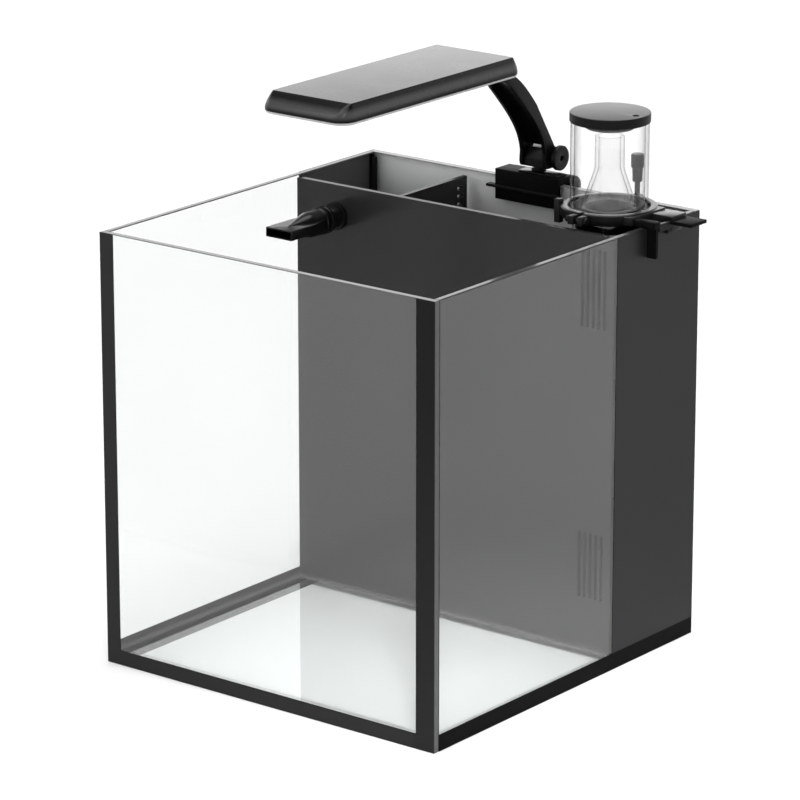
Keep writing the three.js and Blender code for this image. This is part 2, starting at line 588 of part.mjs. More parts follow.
function skimmerCollar() {
  const { x, y, ringR, ringIn, ringLow, ringTop } = skimmer;
  const ring = turnZ([
    [ringIn, ringLow], [ringR - 1, ringLow], [ringR, ringLow + 1], [ringR, ringTop - 1], [ringR - 1, ringTop],
    [ringIn + 1, ringTop], [ringIn, ringTop - 1], [ringIn, ringLow],
  ], x, y, fine);
  const half = ears.split / 2;
  const outer = half + ears.thick;
  const low = ringLow + 1;
  const high = ringTop - 1;
  const earLeft = block(x - outer, x - half, y - ringR - ears.reach, y - ringR + 4, low, high);
  const earRight = block(x + half, x + outer, y - ringR - ears.reach, y - ringR + 4, low, high);
  const split = block(x - half, x + half, y - ringR - 1, y - ringIn + 1, ringLow - 1, ringTop + 1);
  const boltY = y - ringR - ears.boltY;
  const screwHole = turnX(rod(ears.boltR + 0.4, x - outer - 5, x + outer + 5), boltY, ears.boltZ, 16);
  const tab = block(hanger.tab, hanger.start - gap, hanger.tabY, hanger.blockEnd, hanger.under, high);
  const lug = turnZ(rod(valve.lugR, ringLow, ringTop), valve.x, valve.y, coarse);
  const brace = block(stay.x0, stay.x1, stay.y0, stay.y1, stay.low, stay.high);
  const clear = turnZ(rod(ringIn, ringLow - 1, ringTop + 1), x, y, fine);
  const collar = cut(join(ring, earLeft, earRight, tab, lug, brace), clear, split, screwHole);
  piece('skimmer_collar', collar, 'plastic');
  const face = outer + gap;
  piece('collar_screw', turnX([
    [0, x - face - ears.head], [ears.headR, x - face - ears.head], [ears.headR, x - face],
    [ears.boltR, x - face],
    [ears.boltR, x + face], [ears.nutR, x + face], [ears.nutR, x + face + ears.nut], [0, x + face + ears.nut],
  ], boltY, ears.boltZ, 16), 'metal');
}

function skimmerHanger() {
  const { start, face, under, top, legX, legLow, lipX, outerX } = hanger;
  const reach = outline([[start, under], [face, under], [face, legLow], [legX, legLow], [legX, top], [start, top]]);
  const hook = extrudeY(reach, hanger.hookY, hanger.hookEnd);
  const finEnd = hanger.finY + hanger.fin;
  const frontTrim = block(face - 1, legX + 1, hanger.hookY - 1, hanger.finY, legLow - 1, under);
  const rearTrim = block(face - 1, legX + 1, finEnd, hanger.hookEnd + 1, legLow - 1, under);
  piece('hanger_hook', cut(hook, frontTrim, rearTrim), 'plastic');
  const saddle = extrudeY(outline([
    [start, under], [face, under], [face, hanger.lipLow], [lipX, hanger.lipLow], [lipX, hanger.lipHigh],
    [outerX, hanger.lipHigh], [outerX, top], [start, top],
  ]), hanger.blockY, hanger.blockEnd);
  const rail = block(lipX, outerX, hanger.hookEnd + gap, hanger.blockY + 1, hanger.railLow, hanger.railHigh);
  piece('hanger_block', join(saddle, rail), 'plastic');
  piece('hanger_plate', block(outerX + gap, tray.x1, tray.y0, tray.y1, tray.low, tray.high), 'plastic');
}

function collectionCup() {
  const { x, y, cupR, wall, ringIn } = skimmer;
  const { boreR, skirtLow, skirtR, rimLow, neckR, neckTop, coneR, coneTop, plugR, plugLow, lidR, lidTop } = cup;
  const rimTop = cup.low - gap;
  piece('cup_base', turnZ([
    [boreR, rimTop], [boreR, skirtLow], [skirtR, skirtLow], [skirtR, rimLow], [ringIn - gap, rimLow],
    [ringIn - gap, rimTop], [boreR, rimTop],
  ], x, y, fine), 'plastic');
  piece('cup_tube', turnZ(sleeve(cupR - wall, cupR, cup.low, cup.high), x, y, fine), 'acrylic');
  piece('neck_cone', turnZ([
    [coneR, cup.low], [neckR, coneTop], [neckR, neckTop], [neckR - wall, neckTop], [neckR - wall, coneTop],
    [coneR - wall, cup.low], [coneR, cup.low],
  ], x, y, fine), 'acrylic');
  const lidLow = cup.high + gap;
  const lid = turnZ([
    [0, plugLow], [plugR, plugLow], [plugR, lidLow], [lidR, lidLow], [lidR, lidTop - 0.8],
    [lidR - 0.8, lidTop], [0, lidTop],
  ], x, y, fine);
  const vent = turnZ(rod(cup.ventR, plugLow - 1, lidTop + 1), x + cup.ventX, y, coarse);
  piece('cup_lid', cut(lid, vent), 'plastic');
}

function airValve() {
  const { x, y, stemR, neckR, shoulderR, low, neck, shoulder, top, capR } = valve;
  piece('valve_body', turnZ([
    [0, low], [stemR, low], [stemR, neck], [neckR, neck], [shoulderR, shoulder], [0, shoulder],
  ], x, y, coarse), 'plastic');
  const capLow = shoulder + gap;
  piece('valve_cap', turnZ([
    [0, capLow], [capR - 0.4, capLow], [capR, capLow + 1], [capR, top - 1], [capR - 0.8, top], [0, top],
  ], x, y, coarse), 'plastic');
  const route = [
    [x, y, skimmer.ringLow - gap], [x, y, 200], [x, y, 60], [x, y - 3, 38],
    [x, airPump.y1 + 6, airPump.z + 2.5], [x, airPump.y1 + 1, airPump.z + 2],
  ];
  piece('air_tube', pipe(route, 2.5, 1.5, 24, 2), 'hose');
}

function skimmerBody() {
  const { x, y } = skimmer;
  const { outR, inR, low, high, boreR } = riser;
  piece('skimmer_body', turnZ([
    [boreR, low], [outR, low], [outR, high], [inR, high], [inR, low + riser.floor],
    [boreR, low + riser.floor], [boreR, low],
  ], x, y, fine), 'acrylic');
  const { halfX, y0, y1, round, z, chamberEnd } = airPump;
  const casing = extrudeZ(roundedBox(x - halfX, x + halfX, y0, y1, round), airPump.low, low, 4);
  const chamber = turnY(rod(rotor.chamberR, y0 - 1, chamberEnd), x, z, coarse);
  const riserBore = turnZ(rod(airPump.boreR, z, low + 1), x, y - 6, coarse);
  piece('skimmer_pump', cut(casing, chamber, riserBore), 'plastic');
  piece('skimmer_impeller', impeller(x, y0 + 2, chamberEnd - 4, z, rotor.tipR), 'rotor');
}

glassBox();
seams();
borders();
filterBay();
mediaBasket();
returnPump();
returnHose();
outletBulkhead();
duckbill();
lampHead();
lampArm();
lampClamp();
skimmerCollar();
skimmerHanger();
collectionCup();
airValve();
skimmerBody();

export default aquarium;
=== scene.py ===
import math

import bmesh
import bpy
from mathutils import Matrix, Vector


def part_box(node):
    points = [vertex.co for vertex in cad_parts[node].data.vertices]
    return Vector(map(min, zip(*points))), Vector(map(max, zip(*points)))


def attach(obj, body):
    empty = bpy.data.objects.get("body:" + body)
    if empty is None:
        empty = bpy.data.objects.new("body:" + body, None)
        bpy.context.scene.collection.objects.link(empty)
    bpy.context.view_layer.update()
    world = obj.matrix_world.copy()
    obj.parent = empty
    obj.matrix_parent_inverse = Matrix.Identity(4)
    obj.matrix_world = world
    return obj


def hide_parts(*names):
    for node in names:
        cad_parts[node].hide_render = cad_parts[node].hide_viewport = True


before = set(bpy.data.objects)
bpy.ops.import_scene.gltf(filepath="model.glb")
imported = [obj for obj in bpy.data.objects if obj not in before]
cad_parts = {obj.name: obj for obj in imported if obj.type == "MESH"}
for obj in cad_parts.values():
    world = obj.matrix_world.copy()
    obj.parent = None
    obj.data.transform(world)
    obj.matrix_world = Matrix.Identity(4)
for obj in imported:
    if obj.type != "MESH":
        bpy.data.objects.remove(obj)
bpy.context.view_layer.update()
mm = 0.001
print("frame loaded:", len(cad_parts), "nodes")


class Wire:
    def __init__(self, tree, socket):
        self.tree = tree
        self.socket = socket

    def maths(self, operation, first, second=None):
        return self.tree.make("ShaderNodeMath", {"operation": operation}, {0: first, 1: second})

    def __add__(self, other):
        return self.maths("ADD", self, other)

    def __radd__(self, other):
        return self.maths("ADD", other, self)

    def __sub__(self, other):
        return self.maths("SUBTRACT", self, other)

    def __rsub__(self, other):
        return self.maths("SUBTRACT", other, self)

    def __mul__(self, other):
        return self.maths("MULTIPLY", self, other)

    def __rmul__(self, other):
        return self.maths("MULTIPLY", other, self)

    def __truediv__(self, other):
        return self.maths("DIVIDE", self, other)

    def __pow__(self, other):
        return self.maths("POWER", self, other)

    def clamped(self):
        return self.maths("MAXIMUM", self.maths("MINIMUM", self, 1.0), 0.0)

    def ramp(self, low, high):
        return ((self - low) / (high - low)).clamped()


class Finish:
    def __init__(self, name):
        self.material = bpy.data.materials.new(name)
        self.material.use_nodes = True
        self.nodes = self.material.node_tree.nodes
        self.links = self.material.node_tree.links
        self.nodes.clear()
        self.sheet = self.nodes.new("ShaderNodeOutputMaterial")

    def make(self, kind, settings=None, values=None, output=0):
        node = self.nodes.new(kind)
        for key, value in (settings or {}).items():
            if key == "stops":
                for stop, (place, colour) in zip(node.color_ramp.elements, value):
                    stop.position, stop.color = place, colour
            else:
                setattr(node, key, value)
        for key, value in (values or {}).items():
            if value is None:
                continue
            if isinstance(value, Wire):
                self.links.new(value.socket, node.inputs[key])
            else:
                node.inputs[key].default_value = value
        return Wire(self, node.outputs[output])

    def place(self):
        return self.make("ShaderNodeTexCoord", output="Object")

    def along(self, axis):
        return self.make("ShaderNodeSeparateXYZ", {}, {0: self.place()}, output=axis)

    # Mask of faces that point up, used to lay a painted sheen on tops.
    def paintedSheenMask(self, low=0.5, high=0.9):
        normal = self.make("ShaderNodeNewGeometry", output="Normal")
        return self.make("ShaderNodeSeparateXYZ", {}, {0: normal}, output=2).ramp(low, high)

    def noise(self, scale, detail=2.0, rough=0.5, stretch=None):
        where = self.place()
        if stretch:
            where = self.make("ShaderNodeMapping", {}, {"Vector": where, "Scale": stretch})
        values = {"Vector": where, "Scale": scale, "Detail": detail, "Roughness": rough}
        return self.make("ShaderNodeTexNoise", {}, values, output="Fac")

    def blend(self, factor, first, second):
        values = {0: factor, 6: first, 7: second}
        return self.make("ShaderNodeMix", {"data_type": "RGBA"}, values, output=2)

    def bump(self, height, strength, distance):
        return self.make("ShaderNodeBump", {}, {"Height": height, "Strength": strength, "Distance": distance})

    def principled(self, **values):
        names = {key: key.replace("_", " ") for key in values}
        return self.make("ShaderNodeBsdfPrincipled", {}, {names[key]: value for key, value in values.items()})

    def mix(self, factor, first, second):
        return self.make("ShaderNodeMixShader", {}, {0: factor, 1: first, 2: second})

    def done(self, shader):
        self.links.new(shader.socket, self.sheet.inputs["Surface"])
        return self.material


def tone(level):
    share = level / 255
    linear = share / 12.92 if share <= 0.04045 else ((share + 0.055) / 1.055) ** 2.4
    return (linear, linear, linear, 1.0)


def roundCorner(x, y, r, start, steps):
    turns = [math.radians(start + 90 * i / steps) for i in range(steps + 1)]
    return [(x + r * math.cos(t), y + r * math.sin(t)) for t in turns]


def roundedRect(x0, x1, y0, y1, r, steps=6):
    spots = roundCorner(x1 - r, y0 + r, r, -90, steps) + roundCorner(x1 - r, y1 - r, r, 0, steps)
    return spots + roundCorner(x0 + r, y1 - r, r, 90, steps) + roundCorner(x0 + r, y0 + r, r, 180, steps)


def bezier(a, b, c, d, steps=16):
    spots = []
    for i in range(1, steps + 1):
        t = i / steps
        u = 1 - t
        shares = (u ** 3, 3 * u * u * t, 3 * u * t * t, t ** 3)
        spots.append(tuple(sum(w * v for w, v in zip(shares, along)) for along in zip(a, b, c, d)))
    return spots


def arc(x, y, r, start, end, steps=16):
    turns = [math.radians(start + (end - start) * i / steps) for i in range(steps + 1)]
    return [(x + r * math.cos(t), y + r * math.sin(t)) for t in turns]


toSpace = {
    "X": lambda a, b, c: (c, a, b),
    "Y": lambda a, b, c: (a, c, b),
    "Z": lambda a, b, c: (a, b, c),
}


def softened(form, width, steps=2, angle=25):
    if width:
        sharp = [e for e in form.edges if e.is_manifold and e.calc_face_angle(0) > math.radians(angle)]
        bmesh.ops.bevel(form, geom=sharp, offset=width * mm, offset_type="OFFSET", segments=steps, profile=0.5,
                        affect="EDGES", clamp_overlap=True)
    return form


def loft(rings, width=0, steps=2, angle=25):
    form = bmesh.new()
    rows = [[form.verts.new([v * mm for v in spot]) for spot in ring] for ring in rings]
    for low, high in zip(rows, rows[1:]):
        for i in range(len(low)):
            j = (i + 1) % len(low)
            form.faces.new((low[i], low[j], high[j], high[i]))
    form.faces.new(rows[0][::-1])
    form.faces.new(rows[-1])
    bmesh.ops.recalc_face_normals(form, faces=form.faces)
    return softened(form, width, steps, angle)


def prism(outline, axis, start, end, width=0.5, steps=2):
    return loft([[toSpace[axis](a, b, c) for a, b in outline] for c in (start, end)], width, steps)


def block(low, high, width=0.5, steps=2):
    outline = [(low[0], low[1]), (high[0], low[1]), (high[0], high[1]), (low[0], high[1])]
    return prism(outline, "Z", low[2], high[2], width, steps)


# A turned form from (radius, height) spots: open profiles end on the axis, closed ones meet themselves.
def turned(profile, axis, centre, count=96, closed=False, width=0, steps=2, wave=None):
    form = bmesh.new()
    rows = []
    for r, h in profile:
        if r < 1e-6:
            rows.append([form.verts.new([v * mm for v in toSpace[axis](centre[0], centre[1], h)])])
            continue
        row = []
        for i in range(count):
            turn = 2 * math.pi * i / count
            reach = r * (wave(turn, r) if wave else 1)
            spot = toSpace[axis](centre[0] + reach * math.cos(turn), centre[1] + reach * math.sin(turn), h)
            row.append(form.verts.new([v * mm for v in spot]))
        rows.append(row)
    pairs = list(zip(rows, rows[1:]))
    if closed:
        pairs.append((rows[-1], rows[0]))
    for low, high in pairs:
        for i in range(count):
            j = (i + 1) % count
            spots = [low[i % len(low)], low[j % len(low)], high[j % len(high)], high[i % len(high)]]
            form.faces.new(list(dict.fromkeys(spots)))
    bmesh.ops.recalc_face_normals(form, faces=form.faces)
    return softened(form, width, steps)


def catmull(points, perSpan):
    spots = [Vector(p) for p in points]
    spots = [2 * spots[0] - spots[1]] + spots + [2 * spots[-1] - spots[-2]]
    line = []
    for a, b, c, d in zip(spots, spots[1:], spots[2:], spots[3:]):
        for i in range(perSpan):
            t = i / perSpan
            bend, twist = 2 * a - 5 * b + 4 * c - d, 3 * b - a - 3 * c + d
            line.append(0.5 * (2 * b + (c - a) * t + bend * t * t + twist * t ** 3))
    return line + [spots[-2]]


def swept(points, outer, inner, perSpan=8, sides=24):
    line = catmull(points, perSpan)
    rings = []
    side = Vector((1, 0, 0))
    for i, spot in enumerate(line):
        ahead = (line[min(i + 1, len(line) - 1)] - line[max(i - 1, 0)]).normalized()
        side = (side - ahead * side.dot(ahead)).normalized()
        rings.append((spot, side, ahead.cross(side)))

    def ring(at, r):
        spot, one, two = at
        turns = [2 * math.pi * k / sides for k in range(sides)]
        return [spot + r * (one * math.cos(t) + two * math.sin(t)) for t in turns]

    tube = [ring(at, outer) for at in rings] + [ring(at, inner) for at in reversed(rings)]
    form = bmesh.new()
    rows = [[form.verts.new(spot * mm) for spot in row] for row in tube]
    for low, high in zip(rows, rows[1:] + rows[:1]):
        for i in range(sides):
            j = (i + 1) % sides
            form.faces.new((low[i], low[j], high[j], high[i]))
    bmesh.ops.recalc_face_normals(form, faces=form.faces)
    return form


def asObject(name, form, smooth=35):
    mesh = bpy.data.meshes.new(name)
    form.to_mesh(mesh)
    form.free()
    for face in mesh.polygons:
        face.use_smooth = True
    mesh.set_sharp_from_angle(angle=math.radians(smooth))
    thing = bpy.data.objects.new(name, mesh)
    bpy.context.scene.collection.objects.link(thing)
    return thing


# Joins or cuts one form with others, and returns the result as a form again.
def carved(form, *tools, operation="DIFFERENCE"):
    base = asObject("carveBase", form)
    others = [asObject("carveTool", tool) for tool in tools]
    for other in others:
        change = base.modifiers.new("carve", "BOOLEAN")
        change.operation, change.solver, change.object = operation, "EXACT", other
    bpy.context.view_layer.update()
    result = bpy.data.meshes.new_from_object(base.evaluated_get(bpy.context.evaluated_depsgraph_get()))
    out = bmesh.new()
    out.from_mesh(result)
    for thing in [base, *others]:
        bpy.data.objects.remove(thing)
    bpy.data.meshes.remove(result)
    bmesh.ops.remove_doubles(out, verts=out.verts, dist=0.00001)
    return out


def piece(name, form, finish, body, stands=(), smooth=35):
    thing = asObject(name, form, smooth)
    thing.data.materials.append(finish)
    if stands:
        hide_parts(*stands)
    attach(thing, body)
    return thing


def keepNode(name, finish, width=0.3, steps=2):
    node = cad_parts[name]
    node.data.materials.clear()
    node.data.materials.append(finish)
    if width:
        edge = node.modifiers.new("edge", "BEVEL")
        edge.width, edge.segments, edge.limit_method = width * mm, steps, "ANGLE"
        edge.angle_limit = math.radians(40)
        edge.harden_normals = False
    return node


def corners(node):
    low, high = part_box(node)
    return [v / mm for v in low], [v / mm for v in high]


# Window light only shines off the outer faces, and the shine of the floor pane stops at its black left strip.
def paneFinish(name, tint, headOn, power, smear, onlyRight=None):
    f = Finish(name)
    facing = f.make("ShaderNodeLayerWeight", {}, {"Blend": 0.5}, "Facing")
    dust = f.noise(9.0, 4.0, 0.6)
    mirror = headOn + smear * dust + (1 - headOn) * facing ** power
    if onlyRight:
        mirror = mirror * f.along(0).ramp(onlyRight, onlyRight + 0.001)
    clear = f.make("ShaderNodeBsdfTransparent", {}, {"Color": tint})
    shine = f.make("ShaderNodeBsdfGlossy", {}, {"Color": (1, 1, 1, 1), "Roughness": 0.0})
    return f.done(f.mix(mirror.clamped(), clear, shine))


def bareFinish(name, tint):
    f = Finish(name)
    cloud = f.noise(7.0, 3.0, 0.5)
    colour = f.blend(cloud, tint, (1, 1, 1, 1))
    return f.done(f.make("ShaderNodeBsdfTransparent", {}, {"Color": colour}))


def edgeFinish(name, level, spread, rough):
    f = Finish(name)
    chips = f.noise(60.0, 4.0, 0.6)
    grind = f.noise(700.0, 2.0, 0.5)
    colour = f.blend(chips, tone(level - spread), tone(level + spread))
    normal = f.bump(grind, 0.15, 0.0002)
    return f.done(f.principled(Base_Color=colour, Roughness=rough + 0.15 * grind, Normal=normal))


# The polished edge of a pane, with a dull black line where a film shows through beside it.
def cutFinish(name, level, lineStart=None, lineEnd=None):
    f = Finish(name)
    chips = f.noise(60.0, 4.0, 0.6)
    colour = f.blend(chips, tone(level - 8), tone(level + 8))
    polish = 0.94 + 0.06 * chips
    if lineStart is not None:
        across = f.along(0)
        line = across.ramp(lineStart, lineStart + 0.0002) - across.ramp(lineEnd - 0.0002, lineEnd)
        colour = f.blend(line, colour, tone(14))
        polish = polish * (1 - line)
    normal = f.bump(f.noise(500.0, 2.0, 0.5), 0.02, 0.0001)
    return f.done(f.principled(Base_Color=colour, Roughness=0.4, Specular_IOR_Level=0.1, Coat_Weight=polish,
                               Coat_Roughness=0.08, Normal=normal))


# Moulded black plastic with a painted top sheen: its upward faces take a soft coat that stands in for light
# from above, and its upright faces stay dark.
def plasticFinish(name, level, rough, grain=900.0, depth=0.12, wear=26, spec=0.12, paintedTopSheen=0.9):
    f = Finish(name)
    cloud = f.noise(35.0, 3.0, 0.55)
    skin = f.noise(grain, 2.0, 0.6)
    convex = f.make("ShaderNodeNewGeometry", output="Pointiness").ramp(0.53, 0.6)
    base = f.blend(cloud, tone(level * 0.85), tone(level * 1.15))
    colour = f.blend(convex * 0.5, base, tone(level + wear))
    normal = f.bump(skin, depth, 0.0003)
    # Painted sheen: the coat weight follows how far a face points up.
    shine = f.paintedSheenMask() * (paintedTopSheen - 0.1 + 0.1 * cloud)
    return f.done(f.principled(Base_Color=colour, Roughness=rough - 0.05 + 0.12 * cloud, Normal=normal,
                               Specular_IOR_Level=spec, Coat_Weight=shine.clamped(), Coat_Roughness=0.14))


# The lamp's sides carry painted reflection bands: a black band under the top edge, a paler band in the middle
# and a dark foot stand in for the dim ceiling and the bright low light mirrored in them.
def shellPaintedBandsFinish(name, dark, paintedReflectionTone, low, high):
    f = Finish(name)
    skin = f.noise(1500.0, 2.0, 0.6)
    cloud = f.noise(30.0, 3.0, 0.5)
    height = f.along(2)
    rise = height.ramp(low, low + 0.25 * (high - low))
    fall = 1 - height.ramp(low + 0.45 * (high - low), low + 0.75 * (high - low))
    # Painted reflection: dark, then paler, then dark again by height up the sides.
    colour = f.blend(rise * fall * (0.9 + 0.1 * cloud), tone(dark), tone(paintedReflectionTone))
    # Painted sheen on faces that point up.
    shine = f.paintedSheenMask() * (0.5 - 0.05 * cloud)
    normal = f.bump(skin, 0.05, 0.0003)
    return f.done(f.principled(Base_Color=colour, Roughness=0.25 + 0.05 * cloud, Normal=normal,
                               Specular_IOR_Level=0.12, Coat_Weight=shine, Coat_Roughness=0.14))


def metalFinish(name, level, rough):
    f = Finish(name)
    brushed = f.noise(260.0, 3.0, 0.6, (1.0, 1.0, 12.0))
    colour = f.blend(brushed, tone(level - 20), tone(level + 15))
    normal = f.bump(brushed, 0.08, 0.0002)
    return f.done(f.principled(Base_Color=colour, Roughness=rough + 0.15 * brushed, Metallic=1.0,
                               Normal=normal))


def foamFinish(name, level):
    f = Finish(name)
    pores = f.make("ShaderNodeTexVoronoi", {}, {"Vector": f.place(), "Scale": 420.0}, "Distance")
    colour = f.blend(pores.ramp(0.1, 0.6), tone(level * 0.35), tone(level * 1.3))
    normal = f.bump(pores, 0.9, 0.0015)
    return f.done(f.principled(Base_Color=colour, Roughness=0.95, Normal=normal))


def siliconeFinish(name, level, alpha):
    f = Finish(name)
    ripple = f.noise(120.0, 3.0, 0.5)
    colour = f.blend(ripple, tone(level - 8), tone(level + 8))
    normal = f.bump(ripple, 0.25, 0.0006)
    return f.done(f.principled(Base_Color=colour, Roughness=0.25 + 0.2 * ripple, Alpha=alpha, Normal=normal))


def boardFinish(name, level):
    f = Finish(name)
    speck = f.noise(1400.0, 2.0, 0.5)
    cloud = f.noise(14.0, 3.0, 0.5)
    colour = f.blend(cloud, tone(level - 4), tone(level + 3))
    normal = f.bump(speck, 0.08, 0.0002)
    return f.done(f.principled(Base_Color=colour, Roughness=0.5 + 0.1 * speck, Normal=normal))


def filmFinish(name, level, spec, rough, peelDepth=0.03):
    f = Finish(name)
    peel = f.noise(240.0, 3.0, 0.5)
    cloud = f.noise(11.0, 3.0, 0.5)
    colour = f.blend(cloud, tone(level - 3), tone(level + 3))
    normal = f.bump(peel, peelDepth, 0.0002)
    return f.done(f.principled(Base_Color=colour, Roughness=rough + 0.06 * cloud, Normal=normal,
                               Specular_IOR_Level=spec))


# The border print is painted greyer at the left and at the foot, a painted reflection of the surroundings on
# the black print.
def borderFinish(name, dark, paintedReflectionTone, spec):
    f = Finish(name)
    peel = f.noise(240.0, 3.0, 0.5)
    right = f.along(0).ramp(0.15, 0.158)
    high = f.along(2).ramp(0.04, 0.30)
    # Painted reflection: the left strip and the lower right strip take the greyer tone.
    colour = f.blend(right * (0.35 + 0.65 * high), tone(paintedReflectionTone), tone(dark))
    normal = f.bump(peel, 0.05, 0.0002)
    return f.done(f.principled(Base_Color=colour, Roughness=0.4, Normal=normal, Specular_IOR_Level=spec))


# The film beside the bay is deeper black along its foot.
def sideFinish(name, level, foot, edge):
    f = Finish(name)
    peel = f.noise(240.0, 3.0, 0.5)
    cloud = f.noise(11.0, 3.0, 0.5)
    high = f.along(2).ramp(edge, edge + 0.0004)
    colour = f.blend(high, tone(foot), f.blend(cloud, tone(level - 3), tone(level + 3)))
    normal = f.bump(peel, 0.03, 0.0002)
    return f.done(f.principled(Base_Color=colour, Roughness=0.4, Normal=normal, Specular_IOR_Level=0.03,
                               Coat_Weight=0.3 * high, Coat_Roughness=0.35))


# Seen through the glass the back film is a soft grey, painted darker down into the bay as painted shade.
def backPaintedShadeFinish(name, high, low):
    f = Finish(name)
    cloud = f.noise(18.0, 3.0, 0.5)
    depth = f.along(2).ramp(0.325, 0.378)
    # Painted shade: lighter at the top, darker lower down in the bay.
    colour = f.blend((depth * 0.9 + 0.1 * cloud).clamped(), tone(low), tone(high))
    return f.done(f.principled(Base_Color=colour, Roughness=0.55 + 0.1 * cloud, Specular_IOR_Level=0.2))


# Clear plastic: a thin dark line where the wall is seen edge on, and a little shine.
def castFinish(name, tint, rimTint, rimPower, headOn):
    f = Finish(name)
    facing = f.make("ShaderNodeLayerWeight", {}, {"Blend": 0.5}, "Facing")
    streak = f.noise(22.0, 3.0, 0.5, (1.0, 1.0, 0.15))
    mirror = headOn + 0.01 * streak + 0.7 * facing ** 7.0
    clear = f.make("ShaderNodeBsdfTransparent", {}, {"Color": tint})
    dark = f.make("ShaderNodeBsdfTransparent", {}, {"Color": rimTint})
    shine = f.make("ShaderNodeBsdfGlossy", {}, {"Color": (1, 1, 1, 1), "Roughness": 0.02})
    rim = (facing ** rimPower).clamped()
    return f.done(f.mix(mirror.clamped(), f.mix(rim, clear, dark), shine))


clearGlass = paneFinish("clearGlass", (0.985, 0.992, 0.99, 1), 0.085, 4.6, 0.004)
innerGlass = bareFinish("innerGlass", (0.945, 0.958, 0.953, 1))
floorGlass = paneFinish("floorGlass", (0.985, 0.992, 0.99, 1), 0.045, 4.6, 0.004, -0.157)
paneEdge = cutFinish("paneEdge", 45)
leftEdge = cutFinish("leftEdge", 45, -0.1705, -0.169)
rightEdge = cutFinish("rightEdge", 45, 0.1735, 0.1751)
backEdge = cutFinish("backEdge", 98)
clearAcrylic = castFinish("clearAcrylic", (0.99, 0.99, 0.99, 1), (0.08, 0.08, 0.08, 1), 4.2, 0.03)
diffuserAcrylic = edgeFinish("diffuserAcrylic", 168, 10, 0.15)
whiteBoard = boardFinish("whiteBoard", 236)
blackFilm = filmFinish("blackFilm", 22, 0.15, 0.35)
sideFilm = sideFinish("sideFilm", 24, 3, 0.0147)
borderPrint = borderFinish("borderPrint", 5, 30, 0.12)
backGrey = backPaintedShadeFinish("backGrey", 246, 168)
bayPanel = filmFinish("bayPanel", 32, 0.2, 0.2, 0.003)
bayWall = filmFinish("bayWall", 92, 0.1, 0.4)
clearSilicone = siliconeFinish("clearSilicone", 214, 0.08)
blackSilicone = plasticFinish("blackSilicone", 14, 0.45, 200.0, 0.2, 10)
blackPlastic = plasticFinish("blackPlastic", 8, 0.34, 900.0, 0.12, 22, 0.08, 0.6)
satinPlastic = plasticFinish("satinPlastic", 12, 0.42, 1200.0, 0.2, 22, 0.1, 0.55)
mattPlastic = plasticFinish("mattPlastic", 4, 0.5, 1200.0, 0.2, 12, 0.03, 0.12)
lampShell = shellPaintedBandsFinish("lampShell", 6, 60, 0.4945, 0.5075)
collarPlastic = plasticFinish("collarPlastic", 12, 0.34, 900.0, 0.12, 30, 0.1, 0.75)
steel = metalFinish("steel", 190, 0.25)
boardMetal = metalFinish("boardMetal", 215, 0.35)
filterFoam = foamFinish("filterFoam", 74)
rotorPlastic = plasticFinish("rotorPlastic", 150, 0.4, 700.0, 0.1, 20)
clearHose = siliconeFinish("clearHose", 205, 0.55)
ledGlow = edgeFinish("ledGlow", 236, 6, 0.2)
print("finishes made")


glassBox = {"edge": 0.5}


def pane(name, thinAxis, outward, shine, edge):
    low, high = corners(name)
    form = block(low, high, glassBox["edge"], 2)
    thing = piece(name + "Glass", form, shine, "tank", [name], 60)
    thing.data.materials.append(innerGlass)
    thing.data.materials.append(edge)
    for face in thing.data.polygons:
        across = face.normal[thinAxis] * outward
        face.material_index = 0 if across > 0.99 else 1 if across < -0.99 else 2
        face.use_smooth = False


pane("front_pane", 1, -1, clearGlass, paneEdge)
pane("back_pane", 1, 1, clearGlass, backEdge)
pane("left_pane", 0, -1, clearGlass, leftEdge)
pane("right_pane", 0, 1, clearGlass, rightEdge)
pane("bottom_pane", 2, 1, floorGlass, innerGlass)
keepNode("base_board", whiteBoard, 0.4)
keepNode("front_border", borderPrint, 0)
keepNode("right_border", sideFilm, 0)
leftBorder = keepNode("left_border", blackFilm, 0)
leftBorder.data.materials.append(bayWall)
for face in leftBorder.data.polygons:
    face.material_index = 1 if face.normal.x > 0.5 else 0
keepNode("floor_border", blackFilm, 0.4)
for name in ("front_left_seam", "front_right_seam", "bottom_seam"):
    keepNode(name, clearSilicone, 0)
for name in ("rear_left_seam", "rear_right_seam"):
    keepNode(name, blackSilicone, 0)
backFilm = keepNode("back_film", backGrey, 0)
backFilm.data.materials.append(blackFilm)
for face in backFilm.data.polygons:
    face.material_index = 0 if face.normal.y < -0.5 else 1
for name in ("rear_partition", "left_divider", "right_divider"):
    keepNode(name, bayPanel, 0.4)
print("glass box made")


outlet = {"x": -125, "z": 348.5, "boreR": 8, "tip": -11, "root": 41, "coneR": 11.3, "lipR": 12.1}
outlet.update({"halfX": 14.2, "halfZ": 4.2, "wall": 1.2, "plateEnd": 22, "slotEnd": 16})


def ringAt(y, rx, rz, count=64):
    turns = [2 * math.pi * (i + 0.5) / count for i in range(count)]
    return [(outlet["x"] + rx * math.cos(t), y, outlet["z"] + rz * math.sin(t)) for t in turns]


